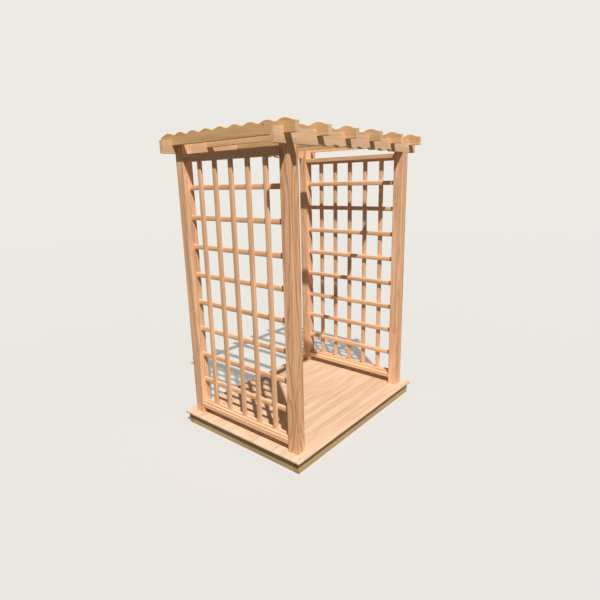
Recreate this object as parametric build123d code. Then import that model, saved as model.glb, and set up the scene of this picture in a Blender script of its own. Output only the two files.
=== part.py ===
from build123d import *
import math
import os

# Garden arbor of planed softwood on a low deck: four posts, two lattice sides, two headers and six rafters.
# Millimetres, +Z up. The origin is on the ground under the middle of the arbor.
# X runs across the walk-through and Y along it, with the front at negative Y.

# Posts
post_size = 89.0
post_ease = 4.0
posts_outside_x = 1612.0
posts_outside_y = 1176.0

# Base frame and deck
frame_thickness = 50.0
frame_height = 89.0
frame_ease = 3.0
joist_count = 3
board_thickness = 25.0
board_overhang = 24.0
board_count = 9
board_gap = 1.0
board_ease = 1.0
deck_rim_flat = 1.0
board_post_clearance = 2.0

# Side panels
rail_height = 38.0
rail_ease = 3.0
rail_lift = 55.0
top_rail_drop = 6.0
strip_size = 19.0
slat_thickness = 19.0
slat_width = 38.0
upright_slat_count = 5
level_slat_count = 8

# Headers
headroom = 2198.0
header_thickness = 38.0
header_height = 97.0
header_overhang = 137.0
header_notch_count = 7
header_notch_pitch = 152.0
header_notch_depth = 14.0
sawn_ease = 1.5

# Rafters
rafter_thickness = 38.0
rafter_height = 89.0
rafter_lap = 37.0
rafter_count = 6
rafter_outset = 50.0
rafter_overhang = 97.0
rafter_tail = 16.0
rafter_tail_drop = 22.0
hump_count = 9
hump_depth = 17.0
crest_share = 0.65
lap_clearance = 0.5

# Places that follow from the sizes above
post_face_x = posts_outside_x / 2
post_face_y = posts_outside_y / 2
post_inner_x = post_face_x - post_size
post_inner_y = post_face_y - post_size
deck_top = frame_height + board_thickness
frame_face_x = post_face_x + frame_thickness
frame_face_y = post_face_y + frame_thickness
deck_edge_x = frame_face_x + board_overhang
deck_edge_y = frame_face_y + board_overhang
deck_round = (board_thickness - deck_rim_flat) / 2
bottom_rail_base = deck_top + rail_lift
bottom_rail_top = bottom_rail_base + rail_height
header_base = deck_top + headroom
header_top = header_base + header_height
top_rail_base = header_base - top_rail_drop - rail_height
header_end_x = post_face_x + header_overhang
rafter_base = header_top - rafter_lap
rafter_end_y = post_face_y + rafter_overhang
lap_plane = header_top - rafter_lap / 2


def block(x_from, x_to, y_from, y_to, z_from, z_to):
    """A square-edged timber between two opposite corners."""
    timber = Box(x_to - x_from, y_to - y_from, z_to - z_from)
    return Pos((x_from + x_to) / 2, (y_from + y_to) / 2, (z_from + z_to) / 2) * timber


def eased(timber, axis, radius):
    """The same timber with its four long arrises rounded."""
    return fillet(timber.edges().filter_by(axis), radius)


def planed_off(timber, axis, size):
    """The same timber with its four long arrises planed off flat."""
    return chamfer(timber.edges().filter_by(axis), size)


def between(side, near, far):
    """Low and high ends of a span given by its distances from the middle plane, on one side of it."""
    return sorted((side * near, side * far))


def sawn_to(outline, plane, thickness):
    """A board sawn to an outline on a plane, with the arrises of both its faces eased."""
    board = extrude(plane * make_face(outline), thickness)
    near_and_far = board.faces().filter_by(plane)
    return chamfer(near_and_far.edges(), sawn_ease)


def rafter_places():
    """Left faces of the rafters, spread evenly between the two outermost ones."""
    first = -post_face_x - rafter_outset
    last = post_face_x + rafter_outset - rafter_thickness
    pitch = (last - first) / (rafter_count - 1)
    return [first + pitch * index for index in range(rafter_count)]


def header_span(end):
    """Front and back faces of a header, flush with the outer faces of its posts."""
    return between(end, post_face_y - header_thickness, post_face_y)


def wave_form(pitch, depth):
    """Half width of a crest arc, its rise, and the slope angle where it meets the hollow's arc."""
    slope = 2 * math.atan(2 * depth / pitch)
    half_width = crest_share * pitch / 2
    rise = half_width / math.sin(slope) * (1 - math.cos(slope))
    return half_width, rise, slope


def post(side, end):
    """A square post from the ground to the header's top, notched on its outer face for the header."""
    x_span = between(side, post_inner_x, post_face_x)
    y_span = between(end, post_inner_y, post_face_y)
    timber = eased(block(*x_span, *y_span, 0, header_top), Axis.Z, post_ease)
    notch = block(*x_span, *header_span(end), header_base, header_top)
    return timber - notch


def long_frame_board(end):
    """A frame board along the front or back, outside the posts and over the ends of the side boards."""
    y_span = between(end, post_face_y, frame_face_y)
    return planed_off(block(-frame_face_x, frame_face_x, *y_span, 0, frame_height), Axis.X, frame_ease)


def side_frame_board(side):
    """A frame board along one side, outside the posts and between the long boards."""
    x_span = between(side, post_face_x, frame_face_x)
    return planed_off(block(*x_span, -post_face_y, post_face_y, 0, frame_height), Axis.Y, frame_ease)


def joist(index):
    """An inner joist between the long frame boards."""
    middle = -post_face_x + posts_outside_x * (index + 1) / (joist_count + 1)
    half = frame_thickness / 2
    return block(middle - half, middle + half, -post_face_y, post_face_y, 0, frame_height)


def deck_blank():
    """The whole deck as one slab, with its rim rounded over above and below."""
    slab = block(-deck_edge_x, deck_edge_x, -deck_edge_y, deck_edge_y, frame_height, deck_top)
    return fillet(slab.faces().filter_by(Axis.Z).edges(), deck_round)


def deck_board(index):
    """A board along X out of the deck, with eased joints, cut out round any post that it meets."""
    width = (2 * deck_edge_y - (board_count - 1) * board_gap) / board_count
    y_from = -deck_edge_y + index * (width + board_gap)
    board = block(-deck_edge_x, deck_edge_x, y_from, y_from + width, frame_height, deck_top)
    joint_edges = board.edges().filter_by(Axis.X).group_by(Axis.Z)[-1]
    board = fillet(joint_edges, board_ease) & deck_blank()
    for side in (-1, 1):
        for end in (-1, 1):
            x_span = between(side, post_inner_x - board_post_clearance, post_face_x + board_post_clearance)
            y_span = between(end, post_inner_y - board_post_clearance, post_face_y + board_post_clearance)
            if y_from < y_span[1] and y_from + width > y_span[0]:
                board = board - block(*x_span, *y_span, frame_height, deck_top)
    return board


def rail(side, base):
    """A rail laid flat between the two posts of a side, as wide as the posts."""
    x_span = between(side, post_inner_x, post_face_x)
    return eased(block(*x_span, -post_inner_y, post_inner_y, base, base + rail_height), Axis.Y, rail_ease)


def lattice_layers(side):
    """X spans of the upright slats, outside, and the level slats, inside, about the post's middle."""
    middle = post_face_x - post_size / 2
    uprights = between(side, middle, middle + slat_thickness)
    levels = between(side, middle - slat_thickness, middle)
    return uprights, levels


def strip(side, inner, base):
    """A square strip along a rail that holds the feet or heads of the upright slats on one face."""
    middle = post_face_x - post_size / 2
    if inner:
        x_span = between(side, middle - strip_size, middle)
    else:
        x_span = between(side, middle + slat_thickness, middle + slat_thickness + strip_size)
    return block(*x_span, -post_inner_y, post_inner_y, base, base + strip_size)


def lattice(side):
    """Upright slats between the rails, crossed on their inner face by level slats between the posts."""
    uprights, levels = lattice_layers(side)
    gap_y = (2 * post_inner_y - upright_slat_count * slat_width) / (upright_slat_count + 1)
    clear_height = top_rail_base - bottom_rail_top
    gap_z = (clear_height - level_slat_count * slat_width) / (level_slat_count + 1)
    slats = []
    for index in range(upright_slat_count):
        y_from = -post_inner_y + gap_y + index * (gap_y + slat_width)
        slats.append(block(*uprights, y_from, y_from + slat_width, bottom_rail_top, top_rail_base))
    for index in range(level_slat_count):
        z_from = bottom_rail_top + gap_z + index * (gap_z + slat_width)
        slats.append(block(*levels, -post_inner_y, post_inner_y, z_from, z_from + slat_width))
    return slats[0].fuse(*slats[1:])


def header_outline():
    """Header seen from the front: straight above, with a wave cut along the lower edge between the posts."""
    half_width, rise = wave_form(header_notch_pitch, header_notch_depth)[:2]
    hollow_half = header_notch_pitch / 2 - half_width
    wave_half = header_notch_count * header_notch_pitch / 2
    with BuildLine() as outline:
        Polyline((-wave_half, header_base), (-header_end_x, header_base), (-header_end_x, header_top),
                 (header_end_x, header_top), (header_end_x, header_base), (wave_half, header_base))
        for index in range(header_notch_count):
            middle = (index - (header_notch_count - 1) / 2) * header_notch_pitch
            meets = {way: (middle + way * hollow_half, header_base + rise) for way in (-1, 1)}
            for way, meet in meets.items():
                foot = (middle + way * header_notch_pitch / 2, header_base)
                TangentArc(foot, meet, tangent=(-way, 0))
            ThreePointArc(meets[-1], (middle, header_base + header_notch_depth), meets[1])
    return outline.line


def header(end):
    """A header let into the posts, with a wavy lower edge and halving notches for the rafters above."""
    y_span = header_span(end)
    back_face = Plane(origin=(0, y_span[1], 0), x_dir=(1, 0, 0), z_dir=(0, -1, 0))
    timber = sawn_to(header_outline(), back_face, header_thickness)
    for left in rafter_places():
        right = left + rafter_thickness
        timber = timber - block(left - lap_clearance, right + lap_clearance, *y_span, lap_plane, header_top)
    return timber


def rafter_outline():
    """Rafter seen from the side: straight below, with a row of humps above and a lower tail at each end."""
    pitch = 2 * (rafter_end_y - rafter_tail) / hump_count
    half_width, rise, slope = wave_form(pitch, hump_depth)
    crest = rafter_base + rafter_height
    tail_top = crest - rafter_tail_drop
    shoulder = crest - rise
    with BuildLine() as outline:
        Polyline((-rafter_end_y, tail_top), (-rafter_end_y, rafter_base), (rafter_end_y, rafter_base),
                 (rafter_end_y, tail_top))
        for index in range(hump_count):
            middle = (index - (hump_count - 1) / 2) * pitch
            ThreePointArc((middle - half_width, shoulder), (middle, crest), (middle + half_width, shoulder))
            if index < hump_count - 1:
                ThreePointArc((middle + half_width, shoulder), (middle + pitch / 2, crest - hump_depth),
                              (middle + pitch - half_width, shoulder))
        last = (hump_count - 1) / 2 * pitch + half_width
        for way in (-1, 1):
            TangentArc((way * last, shoulder), (way * rafter_end_y, tail_top),
                       tangent=(way * math.cos(slope), -math.sin(slope)))
    return outline.line


def rafter(left):
    """A rafter across both headers, humped above and halved over them."""
    left_face = Plane(origin=(left, 0, 0), x_dir=(0, 1, 0), z_dir=(1, 0, 0))
    timber = sawn_to(rafter_outline(), left_face, rafter_thickness)
    for end in (-1, 1):
        y_from, y_to = header_span(end)
        timber = timber - block(left, left + rafter_thickness, y_from - lap_clearance, y_to + lap_clearance,
                                rafter_base, lap_plane)
    return timber


def all_pieces():
    """Every piece of the arbor by its name."""
    sides = {"left": -1, "right": 1}
    ends = {"front": -1, "back": 1}
    pieces = {}
    for end_name, end in ends.items():
        pieces[f"{end_name}_frame_board"] = long_frame_board(end)
        pieces[f"{end_name}_header"] = header(end)
        for side_name, side in sides.items():
            pieces[f"{end_name}_{side_name}_post"] = post(side, end)
    for index in range(joist_count):
        pieces[f"joist_{index + 1}"] = joist(index)
    for index in range(board_count):
        pieces[f"deck_board_{index + 1}"] = deck_board(index)
    for side_name, side in sides.items():
        pieces[f"{side_name}_frame_board"] = side_frame_board(side)
        pieces[f"{side_name}_bottom_rail"] = rail(side, bottom_rail_base)
        pieces[f"{side_name}_top_rail"] = rail(side, top_rail_base)
        pieces[f"{side_name}_lattice"] = lattice(side)
        for layer, inner in (("outer", False), ("inner", True)):
            pieces[f"{side_name}_{layer}_bottom_strip"] = strip(side, inner, bottom_rail_top)
            pieces[f"{side_name}_{layer}_top_strip"] = strip(side, inner, top_rail_base - strip_size)
    for index, left in enumerate(rafter_places()):
        pieces[f"rafter_{index + 1}"] = rafter(left)
    return pieces


os.makedirs("parts", exist_ok=True)
for name, piece in all_pieces().items():
    export_step(piece, f"parts/{name}.step")
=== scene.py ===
import math

import bpy
from mathutils import Matrix, Vector


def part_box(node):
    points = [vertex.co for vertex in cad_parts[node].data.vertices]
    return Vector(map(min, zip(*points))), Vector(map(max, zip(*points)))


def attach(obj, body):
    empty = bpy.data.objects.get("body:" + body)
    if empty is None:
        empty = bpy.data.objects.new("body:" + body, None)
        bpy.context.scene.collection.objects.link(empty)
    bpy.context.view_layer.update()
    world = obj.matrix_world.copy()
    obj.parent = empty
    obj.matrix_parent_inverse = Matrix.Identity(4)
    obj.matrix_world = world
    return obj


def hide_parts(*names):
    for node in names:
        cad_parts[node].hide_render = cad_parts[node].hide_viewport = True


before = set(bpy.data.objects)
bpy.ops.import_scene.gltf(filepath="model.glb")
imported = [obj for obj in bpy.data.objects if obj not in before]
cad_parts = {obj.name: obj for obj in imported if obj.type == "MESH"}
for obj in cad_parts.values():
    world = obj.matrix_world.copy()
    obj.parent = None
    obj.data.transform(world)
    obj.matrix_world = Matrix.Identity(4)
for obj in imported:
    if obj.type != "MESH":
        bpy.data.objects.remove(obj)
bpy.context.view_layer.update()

# Base frame: two long boards outside the posts, two side boards between them and three joists.
# Planed softwood on edge, a shade duller than the rest because it lies on the ground.
# All timbers share one figure: growth rings round a pith that wanders, fibres, heart streaks and a few knots.


def put(tree, kind, *inputs, **settings):
    """Add a node with its settings, and fill its inputs in order with values or other nodes' outputs."""
    node = tree.nodes.new(kind)
    for setting, value in settings.items():
        setattr(node, setting, value)
    for socket, given in zip(node.inputs, inputs):
        if isinstance(given, bpy.types.NodeSocket):
            tree.links.new(given, socket)
        elif given is not None:
            socket.default_value = given
    return node


def reckon(tree, operation, *inputs):
    """One step of arithmetic on numbers."""
    return put(tree, "ShaderNodeMath", *inputs, operation=operation).outputs[0]


def reckon_vector(tree, operation, *inputs):
    """One step of arithmetic on vectors."""
    return put(tree, "ShaderNodeVectorMath", *inputs, operation=operation).outputs[0]


def ease_between(tree, value, low, high, at_low, at_high):
    """A smooth ramp of a value between two limits."""
    ramp = put(tree, "ShaderNodeMapRange", value, low, high, at_low, at_high, interpolation_type="SMOOTHSTEP")
    return ramp.outputs[0]


def noise(tree, point, detail):
    """A soft random field between about 0.3 and 0.7, one bump to each unit of the point's space."""
    return put(tree, "ShaderNodeTexNoise", point, None, 1.0, detail).outputs["Fac"]


def tint(tree, share, colour, other, mode="MIX"):
    """One colour laid over another by a share."""
    node = tree.nodes.new("ShaderNodeMix")
    node.data_type = "RGBA"
    node.blend_type = mode
    for socket_name, given in (("Factor_Float", share), ("A_Color", colour), ("B_Color", other)):
        socket = next(s for s in node.inputs if s.identifier == socket_name)
        if isinstance(given, bpy.types.NodeSocket):
            tree.links.new(given, socket)
        else:
            socket.default_value = given
    return next(s for s in node.outputs if s.identifier == "Result_Color")


def new_group(name, inputs, outputs):
    """An empty shader node group with named sockets, and its two end nodes."""
    group = bpy.data.node_groups.new(name, "ShaderNodeTree")
    for socket_name, kind in inputs:
        group.interface.new_socket(socket_name, in_out="INPUT", socket_type=kind)
    for socket_name, kind in outputs:
        group.interface.new_socket(socket_name, in_out="OUTPUT", socket_type=kind)
    return group, group.nodes.new("NodeGroupInput").outputs, group.nodes.new("NodeGroupOutput").inputs


def timber_place_group():
    """Where a point lies in its own timber, and three chance numbers for each timber of a row or grid."""
    inputs = [("Position", "NodeSocketVector"), ("Middle", "NodeSocketVector"), ("Pitch", "NodeSocketVector")]
    outputs = [("Local", "NodeSocketVector"), ("Chance", "NodeSocketVector")]
    group, given, result = new_group("timber_place", inputs, outputs)
    from_middle = reckon_vector(group, "SUBTRACT", given["Position"], given["Middle"])
    count = reckon_vector(group, "DIVIDE", from_middle, given["Pitch"])
    number = reckon_vector(group, "FLOOR", reckon_vector(group, "ADD", count, (0.5, 0.5, 0.5)))
    own_middle = reckon_vector(group, "MULTIPLY", number, given["Pitch"])
    group.links.new(reckon_vector(group, "SUBTRACT", from_middle, own_middle), result["Local"])
    chance = put(group, "ShaderNodeTexWhiteNoise", number, noise_dimensions="3D").outputs["Color"]
    group.links.new(chance, result["Chance"])
    return group


def pine_figure_group():
    """Softwood's figure in a timber whose grain runs along X."""
    inputs = [("Local", "NodeSocketVector"), ("Chance", "NodeSocketVector")]
    inputs += [(name, "NodeSocketFloat") for name in ("Ring Width", "Pith Distance", "Wander", "Knot Share")]
    masks = ("Late Wood", "Fibre", "Streak", "Patch", "Knot", "Knot Rim")
    outputs = [(name, "NodeSocketFloat") for name in masks]
    group, given, result = new_group("pine_figure", inputs, outputs)
    along, across, up = put(group, "ShaderNodeSeparateXYZ", given["Local"]).outputs
    chance_a, chance_b, chance_c = put(group, "ShaderNodeSeparateXYZ", given["Chance"]).outputs
    log_length = 40.0
    in_log = reckon(group, "MULTIPLY_ADD", chance_a, log_length, along)
    log_point = put(group, "ShaderNodeCombineXYZ", in_log, across, up).outputs[0]

    turn = reckon(group, "MULTIPLY", chance_b, math.tau)
    pith_least = 0.6
    pith_spread = 0.8
    pith_share = reckon(group, "MULTIPLY_ADD", chance_c, pith_spread, pith_least)
    pith_away = reckon(group, "MULTIPLY", pith_share, given["Pith Distance"])
    pith_across = reckon(group, "MULTIPLY", pith_away, reckon(group, "COSINE", turn))
    pith_up = reckon(group, "MULTIPLY", pith_away, reckon(group, "SINE", turn))
    wander_scale = 1.3
    drift = put(group, "ShaderNodeTexNoise", None, in_log, wander_scale, 1.0, noise_dimensions="1D")
    drift = reckon_vector(group, "SUBTRACT", drift.outputs["Color"], (0.5, 0.5, 0.5))
    drift = put(group, "ShaderNodeVectorMath", drift, operation="SCALE")
    group.links.new(given["Wander"], drift.inputs["Scale"])
    drift_across, drift_up, _ = put(group, "ShaderNodeSeparateXYZ", drift.outputs[0]).outputs
    ring_across = reckon(group, "ADD", reckon(group, "SUBTRACT", across, pith_across), drift_across)
    ring_up = reckon(group, "ADD", reckon(group, "SUBTRACT", up, pith_up), drift_up)
    ring_point = put(group, "ShaderNodeCombineXYZ", 0.0, ring_across, ring_up).outputs[0]
    from_pith = put(group, "ShaderNodeVectorMath", ring_point, operation="LENGTH").outputs["Value"]

    knot_cells_per_metre = 7.0
    knot_stretch = (0.5, 1.0, 1.0)
    knot_least = 0.03
    knot_spread = 0.035
    knot_point = reckon_vector(group, "MULTIPLY", log_point, knot_stretch)
    cell = put(group, "ShaderNodeTexVoronoi", knot_point, None, knot_cells_per_metre)
    cell_chance, cell_size, _ = put(group, "ShaderNodeSeparateXYZ", cell.outputs["Color"]).outputs
    knot_there = reckon(group, "LESS_THAN", cell_chance, given["Knot Share"])
    knot_radius = reckon(group, "MULTIPLY_ADD", cell_size, knot_spread, knot_least)
    from_knot = reckon(group, "DIVIDE", cell.outputs["Distance"], knot_radius)
    knot = reckon(group, "MULTIPLY", ease_between(group, from_knot, 0.85, 1.25, 1.0, 0.0), knot_there)
    bend = reckon(group, "MULTIPLY", ease_between(group, from_knot, 0.9, 3.6, 1.0, 0.0), knot_there)
    group.links.new(knot, result["Knot"])
    rim = reckon(group, "MULTIPLY", ease_between(group, from_knot, 0.6, 0.95, 0.0, 1.0), knot)
    group.links.new(rim, result["Knot Rim"])

    ripple_scale = (4.0, 60.0, 60.0)
    ripple_height = 0.9
    bend_height = 0.9
    ripple = noise(group, reckon_vector(group, "MULTIPLY", log_point, ripple_scale), 1.0)
    ripple = reckon(group, "MULTIPLY", reckon(group, "SUBTRACT", ripple, 0.5), ripple_height)
    rings = reckon(group, "DIVIDE", from_pith, given["Ring Width"])
    rings = reckon(group, "ADD", rings, reckon(group, "MULTIPLY_ADD", bend, bend_height, ripple))
    ring_number = reckon(group, "FLOOR", rings)
    in_ring = reckon(group, "FRACT", rings)
    late_start = 0.42
    late_full = 0.88
    late_end = 0.9
    faintest = 0.2
    rings_between_logs = 91.0
    rise = ease_between(group, in_ring, late_start, late_full, 0.0, 1.0)
    fall = ease_between(group, in_ring, late_end, 1.0, 1.0, 0.0)
    ring_seed = reckon(group, "MULTIPLY_ADD", chance_a, rings_between_logs, ring_number)
    strength = put(group, "ShaderNodeTexWhiteNoise", None, ring_seed, noise_dimensions="1D").outputs["Value"]
    strength = reckon(group, "MULTIPLY_ADD", strength, 1.0 - faintest, faintest)
    late = reckon(group, "MULTIPLY", reckon(group, "MULTIPLY", rise, fall), strength)
    group.links.new(late, result["Late Wood"])

    fibre_scale = (7.0, 330.0, 330.0)
    streak_scale = (1.1, 42.0, 42.0)
    patch_scale = (1.4, 14.0, 14.0)
    fibre = noise(group, reckon_vector(group, "MULTIPLY", log_point, fibre_scale), 3.0)
    group.links.new(fibre, result["Fibre"])
    streak = noise(group, reckon_vector(group, "MULTIPLY", log_point, streak_scale), 2.0)
    group.links.new(ease_between(group, streak, 0.5, 0.68, 0.0, 1.0), result["Streak"])
    patch = noise(group, reckon_vector(group, "MULTIPLY", log_point, patch_scale), 2.0)
    group.links.new(ease_between(group, patch, 0.35, 0.65, 0.0, 1.0), result["Patch"])
    return group


timber_place = timber_place_group()
pine_figure = pine_figure_group()
knot_heart = (0.34, 0.15, 0.065, 1.0)
knot_edge = (0.14, 0.055, 0.022, 1.0)
knot_cover = 0.85
knot_edge_cover = 0.8
pale_patch = (1.065, 1.075, 1.11, 1.0)
golden_patch = (0.925, 0.905, 0.86, 1.0)
# Painted light: a paler, bluer tint over the last stretch of a timber, for brighter light along the deck's
# sides.
painted_end_light = (1.03, 1.12, 1.17, 1.0)
painted_end_light_reach = 0.13


def pine(name, grain, middle, pitch, early, late, streak, ends=(0.86, 0.80, 0.74, 1.0), late_share=0.65,
         streak_share=0.4, tone_spread=0.12, ring_width=0.011, pith_distance=0.07, wander=0.05,
         knot_share=0.15, painted_light_from=None):
    """Planed softwood for timbers a pitch apart, grained along one axis, each timber from its own log."""
    material = bpy.data.materials.new(name)
    material.use_nodes = True
    tree = material.node_tree
    shader = tree.nodes["Principled BSDF"]
    place = tree.nodes.new("ShaderNodeTexCoord").outputs
    timber = put(tree, "ShaderNodeGroup", node_tree=timber_place)
    tree.links.new(place["Object"], timber.inputs["Position"])
    timber.inputs["Middle"].default_value = middle
    timber.inputs["Pitch"].default_value = pitch
    order = {"X": (0, 1, 2), "Y": (1, 2, 0), "Z": (2, 0, 1)}[grain]
    local = put(tree, "ShaderNodeSeparateXYZ", timber.outputs["Local"]).outputs
    local = put(tree, "ShaderNodeCombineXYZ", *[local[i] for i in order]).outputs[0]
    figure = put(tree, "ShaderNodeGroup", node_tree=pine_figure)
    tree.links.new(local, figure.inputs["Local"])
    tree.links.new(timber.outputs["Chance"], figure.inputs["Chance"])
    for socket_name, value in (("Ring Width", ring_width), ("Pith Distance", pith_distance),
                               ("Wander", wander), ("Knot Share", knot_share)):
        figure.inputs[socket_name].default_value = value
    seen = figure.outputs

    colour = tint(tree, reckon(tree, "MULTIPLY", seen["Late Wood"], late_share), early, late)
    colour = tint(tree, reckon(tree, "MULTIPLY", seen["Streak"], streak_share), colour, streak)
    fibre_shade = ease_between(tree, seen["Fibre"], 0.3, 0.7, 0.92, 1.05)
    patch_tint = tint(tree, seen["Patch"], pale_patch, golden_patch)
    colour = tint(tree, 1.0, colour, patch_tint, "MULTIPLY")
    timber_shade = put(tree, "ShaderNodeSeparateXYZ", timber.outputs["Chance"]).outputs[2]
    timber_shade = reckon(tree, "MULTIPLY_ADD", timber_shade, tone_spread, 1.0 - tone_spread / 2)
    shade = reckon(tree, "MULTIPLY", fibre_shade, timber_shade)
    shade = put(tree, "ShaderNodeCombineXYZ", shade, shade, shade).outputs[0]
    colour = tint(tree, 1.0, colour, shade, "MULTIPLY")
    facing = put(tree, "ShaderNodeSeparateXYZ", place["Normal"]).outputs["XYZ".index(grain)]
    end_grain = ease_between(tree, reckon(tree, "ABSOLUTE", facing), 0.7, 0.95, 0.0, 1.0)
    colour = tint(tree, end_grain, colour, ends, "MULTIPLY")
    # Painted light: past a distance from the middle, the colour is painted paler and bluer towards the ends.
    if painted_light_from:
        along = put(tree, "ShaderNodeSeparateXYZ", local).outputs[0]
        from_middle = reckon(tree, "ABSOLUTE", along)
        painted_light_share = ease_between(tree, from_middle, painted_light_from, painted_light_from + painted_end_light_reach, 0.0, 1.0)
        colour = tint(tree, painted_light_share, colour, painted_end_light, "MULTIPLY")
    colour = tint(tree, reckon(tree, "MULTIPLY", seen["Knot"], knot_cover), colour, knot_heart)
    colour = tint(tree, reckon(tree, "MULTIPLY", seen["Knot Rim"], knot_edge_cover), colour, knot_edge)
    tree.links.new(colour, shader.inputs["Base Color"])
    roughness = ease_between(tree, seen["Fibre"], 0.3, 0.7, 0.75, 0.55)
    tree.links.new(roughness, shader.inputs["Roughness"])
    shader.inputs["Specular IOR Level"].default_value = 0.35
    late_height = 0.5
    bump_strength = 0.4
    bump_depth = 0.0006
    height = reckon(tree, "MULTIPLY_ADD", seen["Late Wood"], late_height, seen["Fibre"])
    bump = put(tree, "ShaderNodeBump", bump_strength, bump_depth)
    tree.links.new(height, bump.inputs["Height"])
    tree.links.new(bump.outputs[0], shader.inputs["Normal"])
    return material


def dress(node, material):
    """Give a CAD timber its finish."""
    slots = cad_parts[node].data.materials
    slots.clear()
    slots.append(material)


def middle_of(node):
    """The middle of a CAD timber's box."""
    low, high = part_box(node)
    return (low + high) / 2


alone = 20.0  # a pitch so long that no other timber is in the row
ground_early = (0.625, 0.425, 0.212, 1.0)
ground_late = (0.48, 0.265, 0.108, 1.0)
ground_streak = (0.46, 0.265, 0.116, 1.0)
long_board = middle_of("front_frame_board")
long_frame_pine = pine("long_frame_pine", "X", long_board, (alone, -2 * long_board.y, alone),
                       ground_early, ground_late, ground_streak)
for end in ("front", "back"):
    dress(f"{end}_frame_board", long_frame_pine)
joist = middle_of("joist_2")
joist_pitch = joist.x - middle_of("joist_1").x
cross_frame_pine = pine("cross_frame_pine", "Y", joist, (joist_pitch, alone, alone),
                        ground_early, ground_late, ground_streak)
for node in ("left_frame_board", "right_frame_board", "joist_1", "joist_2", "joist_3"):
    dress(node, cross_frame_pine)

# Deck: nine boards laid tight across the frame and notched round the posts, with the whole rim rounded over.
# The palest timber of the arbor, sanded smooth, with rosy streaks and hardly a knot.
# Painted light: the board ends, on their end faces and their last stretch, are painted paler and bluer along
# the deck's sides.
board_count = 9
board = middle_of("deck_board_1")
board_pitch = (middle_of(f"deck_board_{board_count}").y - board.y) / (board_count - 1)
deck_pine = pine("deck_pine", "X", board, (alone, board_pitch, alone), (0.70, 0.485, 0.335, 1.0),
                 (0.59, 0.352, 0.225, 1.0), (0.56, 0.323, 0.21, 1.0), ends=(1.05, 1.08, 1.12, 1.0),
                 streak_share=0.5, tone_spread=0.05, ring_width=0.014, pith_distance=0.09,
                 knot_share=0.03, painted_light_from=0.72)
for number in range(1, board_count + 1):
    dress(f"deck_board_{number}", deck_pine)

# Posts: four square timbers from the ground to the header's top, with rounded arrises.
# Each is cut near the heart of a log, so brown streaks run up its faces and a few small knots show.
# The front-left one is the brownest.
post = middle_of("front_left_post")
posts_apart_x = -2 * post.x
posts_apart_y = -2 * post.y
post_tones = {
    ("front_left",): ((0.92, 0.535, 0.315, 1.0), (0.56, 0.25, 0.095, 1.0), (0.60, 0.29, 0.13, 1.0)),
    ("front_right", "back_left", "back_right"):
        ((0.96, 0.595, 0.372, 1.0), (0.58, 0.275, 0.11, 1.0), (0.62, 0.32, 0.155, 1.0)),
}
for corners, (early, late, streak) in post_tones.items():
    post_pine = pine(f"{corners[0]}_post_pine", "Z", post, (posts_apart_x, posts_apart_y, alone), early, late,
                     streak, late_share=0.95, streak_share=0.7, tone_spread=0.05, ring_width=0.016,
                     pith_distance=0.05, wander=0.07, knot_share=0.22)
    for corner in corners:
        dress(f"{corner}_post", post_pine)

# Side rails and strips: two flat rails between the posts of each side, and square strips along them.
# The strips hold the feet and heads of the upright slats from both faces.
rail = middle_of("left_bottom_rail")
rails_apart = middle_of("left_top_rail").z - rail.z
rail_pine = pine("rail_pine", "Y", rail, (posts_apart_x, alone, rails_apart), (0.86, 0.56, 0.36, 1.0),
                 (0.645, 0.335, 0.165, 1.0), (0.645, 0.345, 0.175, 1.0))
for side in ("left", "right"):
    strip = middle_of(f"{side}_outer_bottom_strip")
    strips_apart = middle_of(f"{side}_inner_bottom_strip").x - strip.x
    strip_pine = pine(f"{side}_strip_pine", "Y", strip, (abs(strips_apart), alone, rails_apart),
                      (0.86, 0.56, 0.36, 1.0), (0.66, 0.38, 0.20, 1.0), (0.66, 0.38, 0.21, 1.0))
    for level in ("bottom", "top"):
        dress(f"{side}_{level}_rail", rail_pine)
        for face in ("outer", "inner"):
            dress(f"{side}_{face}_{level}_strip", strip_pine)

# Lattice: thin slats, five upright on the outside and eight level on the inside, nailed where they cross.
# Planed slats with softened arrises. The uprights run between the rails, the levels from post to post.
upright_count = 5
level_count = 8
slat_width = 0.038
slat_ease = 0.0015


def new_shape_tree(name, inputs):
    """A geometry tree with named inputs that adds its own shape to what it is given."""
    tree = bpy.data.node_groups.new(name, "GeometryNodeTree")
    tree.interface.new_socket("Geometry", in_out="INPUT", socket_type="NodeSocketGeometry")
    tree.interface.new_socket("Geometry", in_out="OUTPUT", socket_type="NodeSocketGeometry")
    for socket_name, kind in inputs:
        tree.interface.new_socket(socket_name, in_out="INPUT", socket_type=kind)
    return tree, tree.nodes.new("NodeGroupInput").outputs


def close_shape_tree(tree, given, instances):
    """Make the instances real, give them their material and add them to what came in."""
    real = put(tree, "GeometryNodeRealizeInstances", instances).outputs[0]
    finished = put(tree, "GeometryNodeSetMaterial", real, None, given["Material"]).outputs[0]
    joined = put(tree, "GeometryNodeJoinGeometry", given["Geometry"])
    tree.links.new(finished, joined.inputs[0])
    put(tree, "NodeGroupOutput", joined.outputs[0])


def grow(piece, tree, **values):
    """Put a geometry tree on a piece with its named inputs filled in."""
    modifier = piece.modifiers.new(tree.name, "NODES")
    modifier.node_group = tree
    for item in tree.interface.items_tree:
        if item.in_out == "INPUT" and item.name in values:
            modifier[item.identifier] = values[item.name]


def settle(piece):
    """Turn a piece's geometry trees into its plain mesh."""
    bpy.context.view_layer.update()
    evaluated = piece.evaluated_get(bpy.context.evaluated_depsgraph_get())
    mesh = bpy.data.meshes.new_from_object(evaluated)
    piece.modifiers.clear()
    piece.data = mesh


def new_piece(name):
    """An empty mesh piece at the origin."""
    piece = bpy.data.objects.new(name, bpy.data.meshes.new(name))
    bpy.context.scene.collection.objects.link(piece)
    return piece


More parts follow.
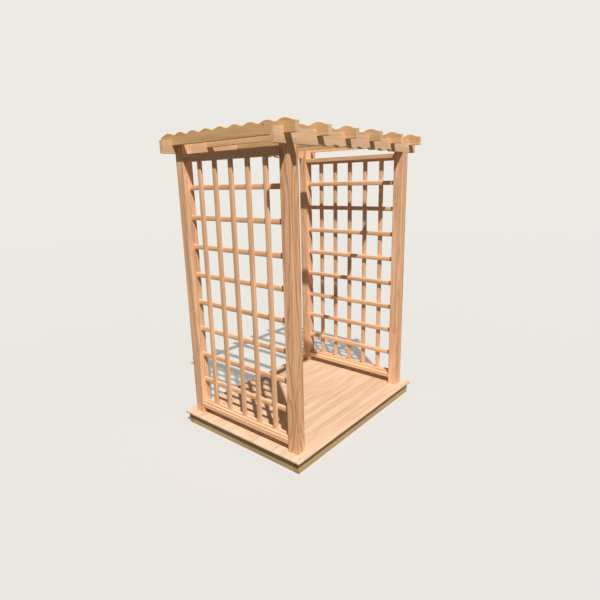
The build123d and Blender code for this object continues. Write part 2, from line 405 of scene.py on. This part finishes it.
def slat_row_tree():
    """A row of like slats: a section with eased corners run along one slat, repeated at an even step."""
    inputs = [("Count", "NodeSocketInt"), ("First", "NodeSocketVector"), ("Step", "NodeSocketVector"),
              ("Run", "NodeSocketVector"), ("Thickness", "NodeSocketFloat"),
              ("Face Width", "NodeSocketFloat"), ("Ease", "NodeSocketFloat"),
              ("Material", "NodeSocketMaterial")]
    tree, given = new_shape_tree("slat_row", inputs)
    section = put(tree, "GeometryNodeCurvePrimitiveQuadrilateral", given["Thickness"], given["Face Width"])
    ease_steps = 2
    rounded = put(tree, "GeometryNodeFilletCurve", section.outputs[0], ease_steps, given["Ease"], mode="POLY")
    run = put(tree, "GeometryNodeCurvePrimitiveLine")
    tree.links.new(given["Run"], run.inputs["End"])
    slat = put(tree, "GeometryNodeCurveToMesh", run.outputs[0], rounded.outputs[0])
    slat.inputs["Fill Caps"].default_value = True
    places = put(tree, "GeometryNodeMeshLine")
    for socket_name, source in (("Count", "Count"), ("Start Location", "First"), ("Offset", "Step")):
        tree.links.new(given[source], places.inputs[socket_name])
    row = put(tree, "GeometryNodeInstanceOnPoints", places.outputs[0], None, slat.outputs[0])
    close_shape_tree(tree, given, row.outputs[0])
    return tree


slat_row = slat_row_tree()
slat_early = (0.92, 0.56, 0.335, 1.0)
slat_late = (0.72, 0.40, 0.208, 1.0)
slat_streak = (0.74, 0.41, 0.226, 1.0)
for side, outward in (("left", -1), ("right", 1)):
    low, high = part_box(f"{side}_lattice")
    slat_thickness = (high.x - low.x) / 2
    middle_x = (low.x + high.x) / 2
    upright_gap = (high.y - low.y - upright_count * slat_width) / (upright_count + 1)
    level_gap = (high.z - low.z - level_count * slat_width) / (level_count + 1)
    upright_step = upright_gap + slat_width
    level_step = level_gap + slat_width
    upright = Vector((middle_x + outward * slat_thickness / 2, low.y + upright_gap + slat_width / 2, low.z))
    level = Vector((middle_x - outward * slat_thickness / 2, low.y, low.z + level_gap + slat_width / 2))
    upright_pine = pine(f"{side}_upright_pine", "Z", upright, (alone, upright_step, alone),
                        slat_early, slat_late, slat_streak, knot_share=0.06)
    level_pine = pine(f"{side}_level_pine", "Y", level, (alone, alone, level_step),
                      slat_early, slat_late, slat_streak, knot_share=0.06)
    slats = new_piece(f"{side}_lattice_slats")
    grow(slats, slat_row, Count=upright_count, Thickness=slat_thickness, Ease=slat_ease, First=upright,
         Step=(0.0, upright_step, 0.0), Run=(0.0, 0.0, high.z - low.z), Material=upright_pine,
         **{"Face Width": slat_width})
    grow(slats, slat_row, Count=level_count, Thickness=slat_thickness, Ease=slat_ease, First=level,
         Step=(0.0, 0.0, level_step), Run=(0.0, high.y - low.y, 0.0), Material=level_pine,
         **{"Face Width": slat_width})
    settle(slats)
    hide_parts(f"{side}_lattice")
    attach(slats, "root")

# Headers: a board on edge let into the outer faces of each pair of posts, screwed to them from outside.
# The lower edge is sawn to a wave between the posts, and the top is notched for the rafters.
header = middle_of("front_header")
header_pine = pine("header_pine", "X", header, (alone, -2 * header.y, alone), (0.86, 0.56, 0.345, 1.0),
                   (0.67, 0.40, 0.21, 1.0), (0.69, 0.41, 0.227, 1.0), ends=(0.98, 0.94, 0.90, 1.0))
for end in ("front", "back"):
    dress(f"{end}_header", header_pine)

# Rafters: six boards on edge, halved over both headers, with a row of humps sawn along the top.
# A yellower softwood than the posts, the first board most of all, each from its own log with pale sawn ends.
rafter = middle_of("rafter_1")
rafter_pitch = middle_of("rafter_2").x - rafter.x
rafter_tones = {
    (1,): ((0.75, 0.467, 0.224, 1.0), (0.52, 0.282, 0.107, 1.0), (0.555, 0.308, 0.125, 1.0)),
    (2, 3, 4, 5, 6): ((0.842, 0.55, 0.30, 1.0), (0.58, 0.333, 0.144, 1.0), (0.624, 0.364, 0.17, 1.0)),
}
for numbers, (early, late, streak) in rafter_tones.items():
    rafter_pine = pine(f"rafter_{numbers[0]}_pine", "Y", rafter, (rafter_pitch, alone, alone), early, late,
                       streak, ends=(1.10, 1.18, 1.30, 1.0))
    for number in numbers:
        dress(f"rafter_{number}", rafter_pine)

# Screws and brads: coated screws through the deck into the frame and through the headers into the posts,
# and thin steel brads where the slats cross.
# The heads are sunk just short of flush, with a round driving recess.


def head_grid_tree():
    """Fastener heads in rows and columns: a coned disc with a recess sunk in its face."""
    inputs = [("Columns", "NodeSocketInt"), ("Column Step", "NodeSocketVector"), ("Rows", "NodeSocketInt"),
              ("Row Step", "NodeSocketVector"), ("First", "NodeSocketVector"), ("Turn", "NodeSocketVector"),
              ("Radius", "NodeSocketFloat"), ("Depth", "NodeSocketFloat"), ("Proud", "NodeSocketFloat"),
              ("Recess Share", "NodeSocketFloat"), ("Recess Depth", "NodeSocketFloat"),
              ("Material", "NodeSocketMaterial")]
    tree, given = new_shape_tree("head_grid", inputs)
    neck_share = 0.5
    head_sides = 12
    neck = reckon(tree, "MULTIPLY", given["Radius"], neck_share)
    cone = put(tree, "GeometryNodeMeshCone", head_sides, 1, 1, given["Radius"], neck, given["Depth"])
    inset = put(tree, "GeometryNodeExtrudeMesh", cone.outputs["Mesh"], cone.outputs["Top"])
    inset.inputs["Offset Scale"].default_value = 0.0
    face = inset.outputs["Top"]
    drawn_in = put(tree, "GeometryNodeScaleElements", inset.outputs["Mesh"], face, given["Recess Share"])
    recess = put(tree, "GeometryNodeExtrudeMesh", drawn_in.outputs[0], face)
    tree.links.new(reckon(tree, "MULTIPLY", given["Recess Depth"], -1.0), recess.inputs["Offset Scale"])
    lift = reckon(tree, "SUBTRACT", given["Proud"], given["Depth"])
    sink = put(tree, "ShaderNodeCombineXYZ", 0.0, 0.0, lift)
    head = put(tree, "GeometryNodeSetPosition", recess.outputs["Mesh"])
    tree.links.new(sink.outputs[0], head.inputs["Offset"])
    columns = put(tree, "GeometryNodeMeshLine")
    rows = put(tree, "GeometryNodeMeshLine")
    for line, socket_name, source in ((columns, "Count", "Columns"), (columns, "Start Location", "First"),
                                      (columns, "Offset", "Column Step"), (rows, "Count", "Rows"),
                                      (rows, "Offset", "Row Step")):
        tree.links.new(given[source], line.inputs[socket_name])
    grid = put(tree, "GeometryNodeInstanceOnPoints", columns.outputs[0], None, rows.outputs[0])
    places = put(tree, "GeometryNodeRealizeInstances", grid.outputs[0])
    heads = put(tree, "GeometryNodeInstanceOnPoints", places.outputs[0], None, head.outputs[0])
    tree.links.new(given["Turn"], heads.inputs["Rotation"])
    close_shape_tree(tree, given, heads.outputs[0])
    return tree


def fastener_metal(name, colour, dulled, metallic):
    """Metal of small heads, a little uneven in colour and gloss."""
    material = bpy.data.materials.new(name)
    material.use_nodes = True
    tree = material.node_tree
    shader = tree.nodes["Principled BSDF"]
    place = tree.nodes.new("ShaderNodeTexCoord").outputs["Object"]
    specks_per_metre = (700.0, 700.0, 700.0)
    uneven = noise(tree, reckon_vector(tree, "MULTIPLY", place, specks_per_metre), 2.0)
    dull_share = ease_between(tree, uneven, 0.35, 0.65, 0.0, 1.0)
    tree.links.new(tint(tree, dull_share, colour, dulled), shader.inputs["Base Color"])
    tree.links.new(ease_between(tree, uneven, 0.3, 0.7, 0.35, 0.6), shader.inputs["Roughness"])
    shader.inputs["Metallic"].default_value = metallic
    return material


head_grid = head_grid_tree()
screw_coat = fastener_metal("screw_coat", (0.40, 0.28, 0.16, 1.0), (0.30, 0.20, 0.11, 1.0), 0.5)
brad_steel = fastener_metal("brad_steel", (0.56, 0.55, 0.53, 1.0), (0.38, 0.37, 0.36, 1.0), 1.0)
screw_head = {"Radius": 0.004, "Depth": 0.0025, "Proud": 0.0002, "Recess Share": 0.42, "Recess Depth": 0.0022,
              "Material": screw_coat}
brad_head = {"Radius": 0.0014, "Depth": 0.001, "Proud": 0.0001, "Recess Share": 0.6, "Recess Depth": 0.0003,
             "Material": brad_steel}
deck_screws = new_piece("deck_screws")
deck_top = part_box("deck_board_1")[1].z
screw_from_board_middle = 0.045
side_board = middle_of("left_frame_board")
joist_count = 3
for first_x, column_count, column_step in ((middle_of("joist_1").x, joist_count, joist_pitch),
                                           (side_board.x, 2, -2 * side_board.x)):
    for way in (-1, 1):
        first = (first_x, board.y + way * screw_from_board_middle, deck_top)
        grow(deck_screws, head_grid, First=first, Columns=column_count, Rows=board_count,
             Turn=(0.0, 0.0, 0.0),
             **{"Column Step": (column_step, 0.0, 0.0), "Row Step": (0.0, board_pitch, 0.0)}, **screw_head)
settle(deck_screws)
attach(deck_screws, "root")

header_screws = new_piece("header_screws")
header_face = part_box("front_header")[0].y
screw_aside = 0.02
screw_aloft = 0.022
for end in (-1, 1):
    for way in (-1, 1):
        first = (post.x + way * screw_aside, -end * header_face, header.z - way * screw_aloft)
        grow(header_screws, head_grid, First=first, Columns=2, Rows=1, Turn=(-end * math.pi / 2, 0.0, 0.0),
             **{"Column Step": (posts_apart_x, 0.0, 0.0), "Row Step": (0.0, 0.0, 0.0)}, **screw_head)
settle(header_screws)
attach(header_screws, "root")

for side, inward in (("left", 1), ("right", -1)):
    low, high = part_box(f"{side}_lattice")
    inner_face = high.x if inward > 0 else low.x
    brads = new_piece(f"{side}_lattice_brads")
    first = (inner_face, low.y + upright_gap + slat_width / 2, low.z + level_gap + slat_width / 2)
    grow(brads, head_grid, First=first, Columns=upright_count, Rows=level_count,
         Turn=(0.0, inward * math.pi / 2, 0.0),
         **{"Column Step": (0.0, upright_step, 0.0), "Row Step": (0.0, 0.0, level_step)}, **brad_head)
    settle(brads)
    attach(brads, "root")

# Floor: a plain pale studio floor on the ground plane.
# It is pale to the eye but throws back only a part of the light, as open ground would.
floor_reach = 60.0
floor_mesh = bpy.data.meshes.new("floor")
floor_corners = [(-floor_reach, -floor_reach), (floor_reach, -floor_reach), (floor_reach, floor_reach),
                 (-floor_reach, floor_reach)]
floor_mesh.from_pydata([(x, y, 0.0) for x, y in floor_corners], [], [(0, 1, 2, 3)])
floor = bpy.data.objects.new("floor", floor_mesh)
bpy.context.scene.collection.objects.link(floor)
floor_finish = bpy.data.materials.new("floor_finish")
floor_finish.use_nodes = True
floor_tree = floor_finish.node_tree


def share_seen(tree):
    """One where a surface is looked at, straight or mirrored, and nought where it only throws light."""
    rays = tree.nodes.new("ShaderNodeLightPath").outputs
    straight_or_mirrored = reckon(tree, "MAXIMUM", rays["Is Camera Ray"], rays["Is Glossy Ray"])
    return reckon(tree, "MAXIMUM", straight_or_mirrored, rays["Is Transmission Ray"])


floor_seen = share_seen(floor_tree)
floor_throws = (0.055, 0.049, 0.036, 1.0)
floor_looks = (0.40, 0.40, 0.395, 1.0)
floor_colour = tint(floor_tree, floor_seen, floor_throws, floor_looks)
floor_shader = floor_tree.nodes["Principled BSDF"]
floor_tree.links.new(floor_colour, floor_shader.inputs["Base Color"])
floor_shader.inputs["Roughness"].default_value = 0.9
floor_shader.inputs["Emission Color"].default_value = (0.26, 0.255, 0.245, 1.0)
floor_tree.links.new(floor_seen, floor_shader.inputs["Emission Strength"])
floor_mesh.materials.append(floor_finish)

# Light: one key high in front and to the left, with slightly soft shadows.
# The surround is pale to the eye and lights the shadows dimly and warmly, as sunlit ground would.
key_way = Vector((0.41, 0.50, -1.0))
key = bpy.data.lights.new("key", "SUN")
key.energy = 4.45
key.angle = math.radians(1.0)
key.color = (1.0, 0.985, 0.95)
key_lamp = bpy.data.objects.new("key", key)
key_lamp.rotation_euler = key_way.to_track_quat("-Z", "Y").to_euler()
bpy.context.scene.collection.objects.link(key_lamp)
world = bpy.data.worlds.new("surround")
bpy.context.scene.world = world
world.use_nodes = True
sky_tree = world.node_tree
sky = sky_tree.nodes["Background"]
sky_throws = (0.150, 0.130, 0.098, 1.0)
sky_looks = (0.845, 0.826, 0.778, 1.0)
sky_colour = tint(sky_tree, share_seen(sky_tree), sky_throws, sky_looks)
sky_tree.links.new(sky_colour, sky.inputs["Color"])

# Camera: before the front-left corner, at a little over head height.
# Its place, turn and lens were fitted to the photograph.
eye_place = Vector((-3.077, -2.537, 2.0746))
eye_yaw = math.radians(50.227)
eye_pitch = math.radians(14.447)
eye_roll = math.radians(-1.341)
camera_data = bpy.data.cameras.new("camera")
camera_data.sensor_width = 36.0
camera_data.lens = 27.349
camera = bpy.data.objects.new("camera", camera_data)
turn_to_view = Matrix.Rotation(-eye_yaw, 3, "Z") @ Matrix.Rotation(math.pi / 2 - eye_pitch, 3, "X")
camera.rotation_euler = (turn_to_view @ Matrix.Rotation(eye_roll, 3, "Z")).to_euler()
camera.location = eye_place
bpy.context.scene.collection.objects.link(camera)
bpy.context.scene.camera = camera
bpy.context.scene.view_settings.view_transform = "Standard"

bpy.context.view_layer.update()
